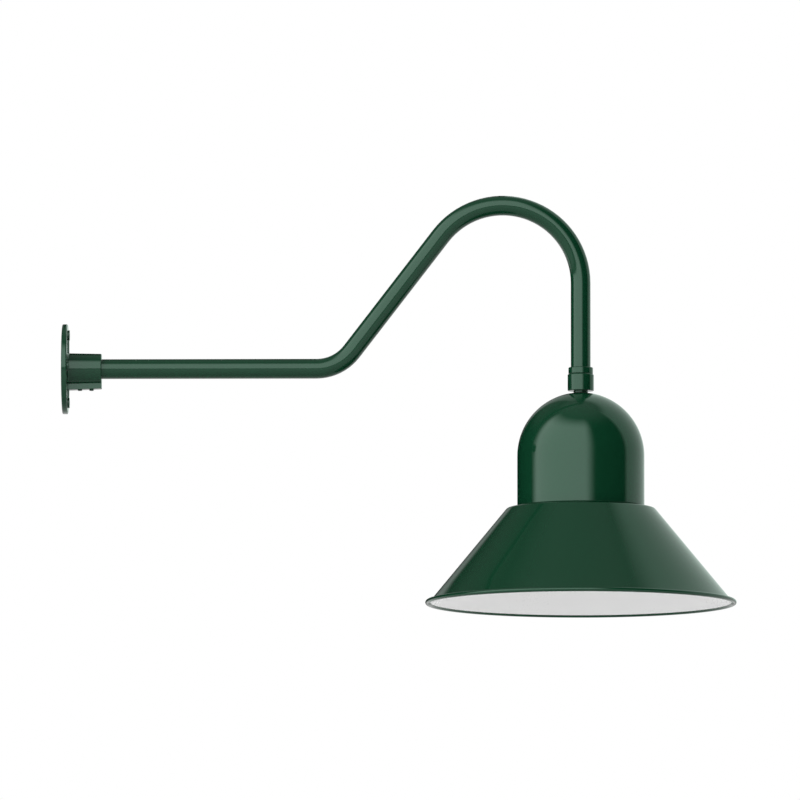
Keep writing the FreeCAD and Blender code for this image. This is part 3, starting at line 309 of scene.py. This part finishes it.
def new_group(name, inputs, outputs):
    """A node group with its named inputs, each with a starting value, and its named outputs."""
    group = bpy.data.node_groups.new(name, "ShaderNodeTree")
    for label, start in inputs:
        group.interface.new_socket(label, in_out="INPUT", socket_type=FLOAT).default_value = start
    for label, kind in outputs:
        group.interface.new_socket(label, in_out="OUTPUT", socket_type=kind)
    tree = Nodes(group)
    return group, tree, tree.add("NodeGroupInput").outputs, tree.add("NodeGroupOutput").inputs


def make_grain_group():
    """Fine and broad unevenness: a height for bumps, and a value that swings about a middle."""
    group, tree, given, result = new_group(
        "uneven_surface",
        [("Fine Scale", 600.0), ("Broad Scale", 12.0), ("Middle", 0.3), ("Swing", 0.1)],
        [("Height", FLOAT), ("Broad", FLOAT), ("Value", FLOAT)],
    )
    place = object_place(tree)
    value = given["Middle"]
    for label, detail, shown in (("Fine", 3, "Height"), ("Broad", 4, "Broad")):
        noise = tree.add("ShaderNodeTexNoise", label.lower())
        noise.inputs["Detail"].default_value = detail
        tree.join(place, noise.inputs["Vector"])
        tree.join(given[label + " Scale"], noise.inputs["Scale"])
        tree.join(noise.outputs["Fac"], result[shown])
        swing = tree.product(tree.math("SUBTRACT", noise.outputs["Fac"], 0.5), given["Swing"])
        value = tree.math("ADD", value, swing, clamp=True)
    tree.join(value, result["Value"])
    return group


# How far the rounded normal agrees with the surface's own: no edge, and a full edge.
NO_EDGE, FULL_EDGE = 0.96, 0.8


def make_edge_group():
    """Where the surface turns sharply: 1 on edges, with a rounded normal for their highlights."""
    group, tree, given, result = new_group(
        "worn_edges", [("Radius", 0.0006), ("Amount", 1.0)], [("Mask", FLOAT), ("Normal", VECTOR)],
    )
    rounded = tree.add("ShaderNodeBevel", "rounded", samples=6)
    tree.join(given["Radius"], rounded.inputs["Radius"])
    along = tree.add("ShaderNodeVectorMath", operation="DOT_PRODUCT")
    tree.join(rounded.outputs["Normal"], along.inputs[0])
    tree.join(tree.add("ShaderNodeNewGeometry").outputs["Normal"], along.inputs[1])
    turned = tree.ramp(along.outputs["Value"], NO_EDGE, FULL_EDGE)
    tree.join(tree.math("MULTIPLY", turned, given["Amount"], clamp=True), result["Mask"])
    tree.join(rounded.outputs["Normal"], result["Normal"])
    return group


GRAIN = make_grain_group()
EDGES = make_edge_group()


def place_group(tree, group, **values):
    """Places a group; a name such as fine_scale sets its input Fine Scale."""
    node = tree.add("ShaderNodeGroup", node_tree=group)
    for name, value in values.items():
        tree.feed(node.inputs[name.replace("_", " ").title()], value)
    return node.outputs


def finish_of(name, colour, second, roughness, swing=0.08, metal=0.0, fine=600.0, broad=14.0, depth=0.00001,
              worn=None, worn_share=0.0, edge=0.0006, tint=WHITE):
    """A finish with two tones, uneven gloss, a fine grain and edges that are rounded and a little worn."""
    material, tree, shader = new_material(name)
    grain = place_group(tree, GRAIN, fine_scale=fine, broad_scale=broad, middle=roughness, swing=swing)
    edges = place_group(tree, EDGES, radius=edge, amount=worn_share)
    tone = tree.mix(grain["Broad"], (*colour, 1), (*second, 1))
    if worn:
        tone = tree.mix(edges["Mask"], tone, (*worn, 1))
    tree.join(tone, shader.inputs["Base Color"])
    tree.join(grain["Value"], shader.inputs["Roughness"])
    shader.inputs["Metallic"].default_value = metal
    shader.inputs["IOR"].default_value = 1.5
    shader.inputs["Specular Tint"].default_value = tint
    bump = tree.add("ShaderNodeBump")
    bump.inputs["Strength"].default_value = 1.0
    bump.inputs["Distance"].default_value = depth
    tree.join(grain["Height"], bump.inputs["Height"])
    tree.join(edges["Normal"], bump.inputs["Normal"])
    tree.join(bump.outputs["Normal"], shader.inputs["Normal"])
    return material


# ---------------------------------------------------------------- one finish for each slot


SPRAYED = {"fine": 420, "broad": 9, "depth": 0.000006}
BARE_METAL = {"metal": 1.0, "swing": 0.15, "fine": 1500}
STEEL_EDGE = (0.75, 0.75, 0.74)


def green_coat():
    """Gloss powder coat with a faint orange peel."""
    return finish_of("green_coat", (0.0032, 0.0335, 0.0145), (0.0037, 0.0365, 0.016), 0.1, swing=0.04,
                     worn=(0.008, 0.05, 0.025), worn_share=0.25, tint=(0.71, 1.0, 0.85, 1.0), **SPRAYED)


def white_coat():
    """The reflector's white, inside the shade."""
    return finish_of("white_coat", (0.95, 0.925, 0.935), (0.96, 0.935, 0.945), 0.28, swing=0.05, **SPRAYED)


def black_rubber():
    return finish_of("black_rubber", (0.018, 0.018, 0.018), (0.03, 0.03, 0.03), 0.6, fine=1500,
                     depth=0.00003)


def screw_steel():
    return finish_of("screw_steel", (0.46, 0.46, 0.47), (0.6, 0.6, 0.6), 0.28, metal=1.0, swing=0.15,
                     fine=1800, broad=90, worn=STEEL_EDGE, worn_share=0.6, edge=0.0003)


def plated_steel():
    return finish_of("plated_steel", (0.5, 0.5, 0.49), (0.63, 0.62, 0.58), 0.32, metal=1.0, swing=0.2,
                     fine=900, broad=60, worn=STEEL_EDGE, worn_share=0.5, edge=0.0004)


def earth_green():
    """Green dye on a steel screw, rubbed bare on its edges."""
    return finish_of("earth_green", (0.03, 0.2, 0.08), (0.05, 0.28, 0.11), 0.3, metal=0.9,
                     fine=1800, broad=90, worn=(0.5, 0.52, 0.4), worn_share=0.7, edge=0.0003)


def white_nylon():
    return finish_of("white_nylon", (0.78, 0.78, 0.74), (0.84, 0.84, 0.8), 0.45, fine=900)


def porcelain():
    return finish_of("porcelain", (0.8, 0.79, 0.75), (0.86, 0.85, 0.82), 0.08, swing=0.05, fine=260, broad=20,
                     depth=0.00002, edge=0.0009)


def shell_metal():
    """Brass with a thin nickel coat."""
    return finish_of("shell_metal", (0.66, 0.6, 0.46), (0.74, 0.7, 0.58), 0.22, broad=80, **BARE_METAL)


def terminal_brass():
    return finish_of("terminal_brass", (0.66, 0.45, 0.17), (0.76, 0.57, 0.27), 0.25, broad=90,
                     worn=(0.85, 0.7, 0.4), worn_share=0.5, edge=0.0002, **BARE_METAL)


def lead_black():
    return finish_of("lead_black", (0.012, 0.012, 0.012), (0.02, 0.02, 0.02), 0.38, fine=1200)


def lead_white():
    return finish_of("lead_white", (0.74, 0.74, 0.7), (0.8, 0.8, 0.77), 0.38, fine=1200)


def lead_green():
    return finish_of("lead_green", (0.02, 0.22, 0.06), (0.03, 0.28, 0.08), 0.38, fine=1200)


FINISHES = (green_coat, white_coat, black_rubber, screw_steel, plated_steel, earth_green, white_nylon,
            porcelain, shell_metal, terminal_brass, lead_black, lead_white, lead_green)


def dress_nodes(materials):
    for name, node in nodes.items():
        for slot in node.material_slots:
            slot.material = materials[slot_of[name]]


# ---------------------------------------------------------------- tools for pieces


MERGE_DISTANCE = 0.000001
FLAT_DISTANCE = 0.0000005


def spin_outline(outline, steps, closed=True):
    """A shape spun round the upright axis from an outline of (radius, height)."""
    shape = bmesh.new()
    corners = [shape.verts.new((radius * MM, 0, height * MM)) for radius, height in outline]
    pairs = list(zip(corners, corners[1:]))
    if closed:
        pairs.append((corners[-1], corners[0]))
    lines = [shape.edges.new(pair) for pair in pairs]
    bmesh.ops.spin(shape, geom=corners + lines, cent=(0, 0, 0), axis=UP, angle=math.tau, steps=steps,
                   use_merge=True)
    return shape


def arc(centre, radius, start, stop, count):
    """Points on an arc, from one angle in degrees to another."""
    points = []
    for number in range(count + 1):
        angle = math.radians(start + (stop - start) * number / count)
        points.append((centre[0] + radius * math.cos(angle), centre[1] + radius * math.sin(angle)))
    return points


def rows(radius, low, high, count):
    """A straight upright run cut into short rows, so that a thread can be worked into it."""
    return [(radius, low + (high - low) * number / count) for number in range(count + 1)]


def rows_down(radius, low, high, count):
    return list(reversed(rows(radius, low, high, count)))


def work_thread(shape, pitch, depth, middle, low, high, fade, reach=0.1):
    """Moves the points near a radius in and out along a helix, less and less towards both ends."""
    for point in shape.verts:
        height = point.co.z / MM
        radius = math.hypot(point.co.x, point.co.y) / MM
        if not low <= height <= high or abs(radius - middle) > reach:
            continue
        turn = math.atan2(point.co.y, point.co.x) / math.tau
        from_end = min(height - low, high - height) / (pitch * fade)
        wave = math.cos(math.tau * (height / pitch - turn))
        moved = radius + depth / 2 * wave * min(max(from_end, 0), 1)
        point.co.x *= moved / radius
        point.co.y *= moved / radius


def close_shape(shape):
    """Merges what lies in one place and turns the faces outwards."""
    bmesh.ops.remove_doubles(shape, verts=shape.verts, dist=MERGE_DISTANCE)
    bmesh.ops.recalc_face_normals(shape, faces=shape.faces)
    return shape


def finish_shape(shape, sharp_from):
    """A closed shape, smooth but for corners over an angle in degrees."""
    bmesh.ops.remove_doubles(shape, verts=shape.verts, dist=MERGE_DISTANCE)
    bmesh.ops.dissolve_degenerate(shape, edges=shape.edges, dist=FLAT_DISTANCE)
    bmesh.ops.recalc_face_normals(shape, faces=shape.faces)
    for face in shape.faces:
        face.smooth = True
    for line in shape.edges:
        line.smooth = len(line.link_faces) == 2 and line.calc_face_angle() < math.radians(sharp_from)
    return shape


def new_piece(name, shape, *materials):
    mesh = bpy.data.meshes.new(name)
    shape.to_mesh(mesh)
    shape.free()
    piece = bpy.data.objects.new(name, mesh)
    bpy.context.scene.collection.objects.link(piece)
    for material in materials:
        mesh.materials.append(material)
    return piece


def cut_shape(shape, tool, operation="DIFFERENCE"):
    """Cuts one shape with another, and gives the result as a new shape."""
    body = new_piece("to_cut", shape)
    cutter = new_piece("cutter", tool)
    change = body.modifiers.new("cut", "BOOLEAN")
    change.operation = operation
    change.solver = "EXACT"
    change.object = cutter
    bpy.context.view_layer.update()
    mesh = bpy.data.meshes.new_from_object(body.evaluated_get(bpy.context.evaluated_depsgraph_get()))
    result = bmesh.new()
    result.from_mesh(mesh)
    leftovers = (body.data, cutter.data, mesh)
    bpy.data.objects.remove(body)
    bpy.data.objects.remove(cutter)
    for leftover in leftovers:
        bpy.data.meshes.remove(leftover)
    return result


def settle(piece, body, replaced):
    """The piece moves with its body and stands for a node, which is hidden."""
    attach(piece, body)
    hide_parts(replaced)


def spun_on_axis(name, shape, replaced, *materials):
    """A spun shape, moved from the origin to the shade's axis."""
    bmesh.ops.translate(shape, verts=shape.verts, vec=SHADE_AXIS)
    settle(new_piece(name, shape, *materials), "shade", replaced)


def set_of(name, shape, places, material, body, replaced):
    """One piece made of copies of a shape, one at each place."""
    mesh = bpy.data.meshes.new("copy")
    shape.to_mesh(mesh)
    shape.free()
    whole = bmesh.new()
    for place in places:
        before = len(whole.verts)
        whole.from_mesh(mesh)
        whole.verts.ensure_lookup_table()
        bmesh.ops.transform(whole, matrix=place, verts=whole.verts[before:])
    bpy.data.meshes.remove(mesh)
    settle(new_piece(name, finish_shape(whole, 38), material), body, replaced)


def round_axis(count, radius, height, start=0.0):
    """Places round the shade's axis, from a starting angle in degrees."""
    places = []
    for number in range(count):
        turn = Matrix.Rotation(math.radians(start + 360 * number / count), 4, "Z")
        at = Matrix.Translation((radius * MM, 0, height * MM))
        places.append(Matrix.Translation(SHADE_AXIS) @ turn @ at)
    return places


def facing(direction, at):
    """A place where +Z is turned to a direction."""
    turn = Vector(direction).to_track_quat("Z", "Y").to_matrix().to_4x4()
    return Matrix.Translation(Vector(at) * MM) @ turn


# ---------------------------------------------------------------- the spun shade


SHEET = 1.2
CONE_SLOPE = math.radians(39.5)
THROAT = 62.0
SHOULDER_ROWS = (68.0, 80.0)
SHOULDER_ROUND = 6.0
CONE_ROWS = (-210, -235, -260, -285)
CURL_RADIUS = 2.9
CURL_GAP = 15
CURL_MIDDLE = (200.3, -307.0)
COLOUR_BORDER = 0.1
BORDER_STEP = 0.6
SHOULDER_TOP = -183.4
SHOULDER_UNDER = SHOULDER_TOP - SHEET


def cone_radius(height, depth):
    """Radius of the cone at a height, this deep under its outer face."""
    offset = CURL_RADIUS - SHEET + depth
    return CURL_MIDDLE[0] - (offset + math.sin(CONE_SLOPE) * (height - CURL_MIDDLE[1])) / math.cos(CONE_SLOPE)


def shoulder_arc(height, depth, radius):
    """The round between shoulder and cone, from the shoulder outwards."""
    back = radius * math.tan((math.pi / 2 - CONE_SLOPE) / 2)
    middle = (cone_radius(height, depth) - back, height - radius)
    return arc(middle, radius, 90, math.degrees(CONE_SLOPE), 10)


def green_outline():
    """Shoulder and cone from above, the curl's inside out to its gap, and its outside back to the cone."""
    cone_turn = math.degrees(CONE_SLOPE) - 180
    gap_turn = -cone_turn - CURL_GAP
    points = [(radius, SHOULDER_TOP) for radius in (THROAT, *SHOULDER_ROWS)]
    points += shoulder_arc(SHOULDER_TOP, 0, SHOULDER_ROUND)
    points += [(cone_radius(height, 0), height) for height in CONE_ROWS]
    points += arc(CURL_MIDDLE, CURL_RADIUS - SHEET, cone_turn, gap_turn, 22)
    points += arc(CURL_MIDDLE, CURL_RADIUS, gap_turn, cone_turn, 40)
    return points + [(cone_radius(CURL_MIDDLE[1], SHEET), CURL_MIDDLE[1])]


def white_outline():
    """The inner face, from the curl up the cone and under the shoulder to the throat."""
    heights = (CURL_MIDDLE[1] + BORDER_STEP, *reversed(CONE_ROWS))
    points = [(cone_radius(height, SHEET), height) for height in heights]
    points += reversed(shoulder_arc(SHOULDER_UNDER, SHEET, SHOULDER_ROUND - SHEET))
    return points + [(radius, SHOULDER_UNDER) for radius in (*reversed(SHOULDER_ROWS), THROAT)]


def is_white(face):
    """Whether a face lies on the inner side of the sheet, above the curl."""
    centre = face.calc_center_median() / MM
    off_cone = math.hypot(centre.x, centre.y) - cone_radius(centre.z, SHEET / 2)
    off_shoulder = centre.z - (SHOULDER_TOP + SHOULDER_UNDER) / 2
    inside = max(off_cone * math.cos(CONE_SLOPE), off_shoulder) < -0.05
    return inside and centre.z > CURL_MIDDLE[1] + COLOUR_BORDER


def make_shade(materials):
    """Sheet spun to a shoulder, a cone and an almost closed curl: green outside, white inside."""
    shape = finish_shape(spin_outline(green_outline() + white_outline(), 288), 50)
    for face in shape.faces:
        face.material_index = int(is_white(face))
    spun_on_axis("spun_shade", shape, "shade_cone", materials["green_coat"], materials["white_coat"])


# ---------------------------------------------------------------- threaded tubes


def make_lamp_thread(materials):
    """The lamp holder's shell: rolled thread, plain neck and inward ledge."""
    foot, neck_foot, top = -159.8, -137.5, -131.3
    inside, neck, ledge, wall = 13.0, 12.6, 10.0, 0.4
    pitch, depth = 3.629, 0.5
    inner = rows(inside, foot, neck_foot - 0.8, 96) + [(inside - 0.1, neck_foot - 0.4)]
    inner += [(neck, neck_foot), (neck, top - wall), (ledge, top - wall)]
    outer = [(ledge, top), (neck + 0.2, top), (neck + wall, top - 0.2), (neck + wall, neck_foot + 0.1)]
    outer += [(inside + 0.3, neck_foot - 0.3)] + rows_down(inside + wall, foot, neck_foot - 0.6, 96)
    shape = spin_outline(inner + outer, 96)
    work_thread(shape, pitch, depth, inside + wall / 2, foot + 0.9, neck_foot - 0.9, fade=0.6, reach=0.3)
    spun_on_axis("threaded_shell", finish_shape(shape, 60), "lamp_shell", materials["shell_metal"])


def make_nipple(materials):
    """Running thread all along the pipe that joins coupling and dome."""
    foot, top, bore, middle = -48.9, -24.7, 4.7, 6.3
    pitch, depth = 1.411, 0.58
    corner, lead_in = 0.3, 0.4
    outline = [(bore, foot + corner), (bore + corner, foot), (middle - corner, foot)]
    outline += rows(middle, foot + lead_in, top - lead_in, 170)
    outline += [(middle - corner, top), (bore + corner, top), (bore, top - corner)]
    shape = spin_outline(outline, 64)
    work_thread(shape, pitch, depth, middle, foot + lead_in, top - lead_in, fade=0.5)
    spun_on_axis("running_thread_pipe", finish_shape(shape, 60), "pipe_nipple", materials["plated_steel"])


# ---------------------------------------------------------------- screws and nuts


ROWS_PER_TURN = 8
# Radius and rise of the head, radius of the shank, and pitch.
PAN_HEAD = {"head": 3.9, "rise": 2.4, "shank": 2.0, "pitch": 0.7}
TERMINAL_HEAD = {"head": 3.3, "rise": 2.0, "shank": 1.7, "pitch": 0.6}
UPSIDE_DOWN = Matrix.Rotation(math.pi, 4, "X")


def block(width, depth, height, middle_height, taper=1.0):
    """A block over the origin, whose lower end is narrower by the taper."""
    shape = bmesh.new()
    bmesh.ops.create_cube(shape, size=1)
    lower_end = [point for point in shape.verts if point.co.z < 0]
    bmesh.ops.scale(shape, verts=lower_end, vec=(taper, taper, 1))
    bmesh.ops.scale(shape, verts=shape.verts, vec=(width * MM, depth * MM, height * MM))
    bmesh.ops.translate(shape, verts=shape.verts, vec=(0, 0, middle_height * MM))
    return shape


def hexagon(flats, height):
    """A six-sided bar across the origin, with this distance between its flats."""
    shape = bmesh.new()
    corner = flats / math.sqrt(3) * MM
    bmesh.ops.create_cone(shape, cap_ends=True, segments=6, radius1=corner, radius2=corner, depth=height * MM)
    return shape


def turn_shape(shape, degrees):
    bmesh.ops.rotate(shape, verts=shape.verts, matrix=Matrix.Rotation(math.radians(degrees), 3, "Z"))
    return shape


def cut_cross(shape, head, rise):
    """The tapered cross recess of a pan head."""
    for degrees in (45, 135):
        arm = turn_shape(block(head * 1.15, 0.85, rise * 1.6, rise * 0.95, taper=0.5), degrees)
        shape = cut_shape(shape, arm)
    return shape


def cut_slot(shape, head, rise):
    """The straight slot of a terminal screw."""
    return cut_shape(shape, block(head * 2.4, 0.9, rise, rise * 0.95))


def pan_screw(length, cut_recess, head, rise, shank, pitch):
    """A screw with its head up and its seat at height 0. Its length runs from the seat to the tip."""
    edge = rise * 0.42
    dome = 3.2 * head
    crown = [point for point in arc((0, rise - dome), dome, 90, 78, 6) if point[0] < head - edge]
    outline = crown + arc((head - edge, crown[-1][1] - edge), edge, 80, 0, 8)
    outline += [(head, 0.1), (head - 0.1, 0.0), (shank, 0.0)]
    tip, depth = 0.5, 0.56 * pitch
    middle = shank - depth / 2
    outline += rows_down(middle, tip - length, -0.2, round((length - tip) / pitch * ROWS_PER_TURN))
    outline += [(shank * 0.7, -length), (0, -length)]
    shape = spin_outline(outline, 40, closed=False)
    work_thread(shape, pitch, depth, middle, 0.4 - length, -0.2, fade=0.7)
    return cut_recess(finish_shape(shape, 50), head, rise)


def hex_nut(flats, height, bore, pitch):
    """A nut from height 0 up, with chamfered corners and a threaded bore."""
    shape = turn_shape(hexagon(flats, height), 30)
    bmesh.ops.translate(shape, verts=shape.verts, vec=(0, 0, height / 2 * MM))
    corner, face = flats / math.sqrt(3), flats / 2 * 0.97
    slope = (corner - face) * 0.5
    cone = [(0, 0), (face, 0), (corner, slope), (corner, height - slope), (face, height), (0, height)]
    shape = cut_shape(shape, close_shape(spin_outline(cone, 72, closed=False)), "INTERSECT")
    lead_in, past = 0.5, 1
    hole = [(0, -past), (bore + lead_in, -past), (bore + lead_in, 0), (bore, lead_in)]
    turns = height / pitch
    hole += rows(bore, lead_in + 0.1, height - lead_in - 0.1, max(round(turns * ROWS_PER_TURN), 4))
    hole += [(bore, height - lead_in), (bore + lead_in, height), (bore + lead_in, height + past),
             (0, height + past)]
    tap = spin_outline(hole, 48, closed=False)
    work_thread(tap, pitch, 0.4 * pitch, bore, lead_in, height - lead_in, fade=0.5)
    return cut_shape(shape, close_shape(tap))


def socket_screw(radius, length, flats, pitch):
    """A headless screw from height 0 down, with a hexagon socket in its top."""
    edge, depth = 0.45, 0.5 * pitch
    middle = radius - depth / 2
    outline = [(0, 0), (radius - edge, 0)]
    outline += rows_down(middle, edge - length, -edge, round((length - 2 * edge) / pitch * ROWS_PER_TURN))
    outline += [(radius - 2 * edge, -length), (0, -length)]
    shape = spin_outline(outline, 40, closed=False)
    work_thread(shape, pitch, depth, middle, edge - length, -edge, fade=0.7)
    return cut_shape(finish_shape(shape, 50), hexagon(flats, flats * 2))


def make_shade_fixings(materials):
    """Four pan heads under the shoulder with their points up, and their nuts inside the dome."""
    places = [place @ UPSIDE_DOWN for place in round_axis(count=4, radius=72.0, height=-184.6)]
    set_of("shade_pan_screws", pan_screw(8.6, cut_cross, **PAN_HEAD), places, materials["screw_steel"],
           "shade", "shade_screws")
    places = round_axis(count=4, radius=72.0, height=-181.4)
    set_of("shade_hex_nuts", hex_nut(flats=7.0, height=3.2, bore=1.9, pitch=0.7), places,
           materials["screw_steel"], "shade", "shade_nuts")


def make_holder_screws(materials):
    """Two pan heads that hold the lamp holder to its bracket."""
    places = round_axis(count=2, radius=15.5, height=-110.5)
    set_of("holder_pan_screws", pan_screw(12.0, cut_cross, **PAN_HEAD), places, materials["screw_steel"],
           "shade", "holder_screws")


def make_terminal_screws(materials):
    """Two slotted screws, square to the holder's screws."""
    places = round_axis(count=2, radius=15.8, height=-115.7, start=90)
    set_of("terminal_slotted_screws", pan_screw(8.0, cut_slot, **TERMINAL_HEAD), places,
           materials["terminal_brass"], "shade", "terminal_screws")


def make_pipe_nuts(materials):
    """Two thin nuts on the pipe, one over the other."""
    places = round_axis(count=1, radius=0, height=-39.1) + round_axis(count=1, radius=0, height=-44.6)
    set_of("pipe_hex_nuts", hex_nut(flats=19.0, height=4.0, bore=6.5, pitch=1.411), places,
           materials["plated_steel"], "shade", "pipe_locknuts")


def make_lock_screws(materials):
    """Two painted set screws that come up through the hub's block."""
    places = [facing(DOWN, (reach, 0, -28.3)) for reach in (22.9, 38.0)]
    set_of("lock_set_screws", socket_screw(radius=3.1, length=15.25, flats=3.2, pitch=1.0), places,
           materials["green_coat"], "wall_mount", "hub_lock_screws")


def make_grip_screws(materials):
    """Two painted set screws at the back of the coupling, square to each other."""
    level, outer_end = -13.4, 16.1
    places = []
    for degrees in (45, 135):
        out = Vector((math.cos(math.radians(degrees)), math.sin(math.radians(degrees)), 0))
        places.append(facing(out, Vector((SHADE_AXIS.x / MM, 0, level)) + out * outer_end))
    set_of("grip_set_screws", socket_screw(radius=2.4, length=9.2, flats=2.5, pitch=0.8), places,
           materials["green_coat"], "shade", "coupling_grip_screws")


# ---------------------------------------------------------------- the scene


make_camera()
make_studio_light()
make_floor()
materials = {make.__name__: make() for make in FINISHES}
dress_nodes(materials)
for make_pieces in (make_shade, make_lamp_thread, make_nipple, make_shade_fixings, make_holder_screws,
                    make_terminal_screws, make_pipe_nuts, make_lock_screws, make_grip_screws):
    make_pieces(materials)

bpy.context.scene.view_settings.view_transform = "Standard"
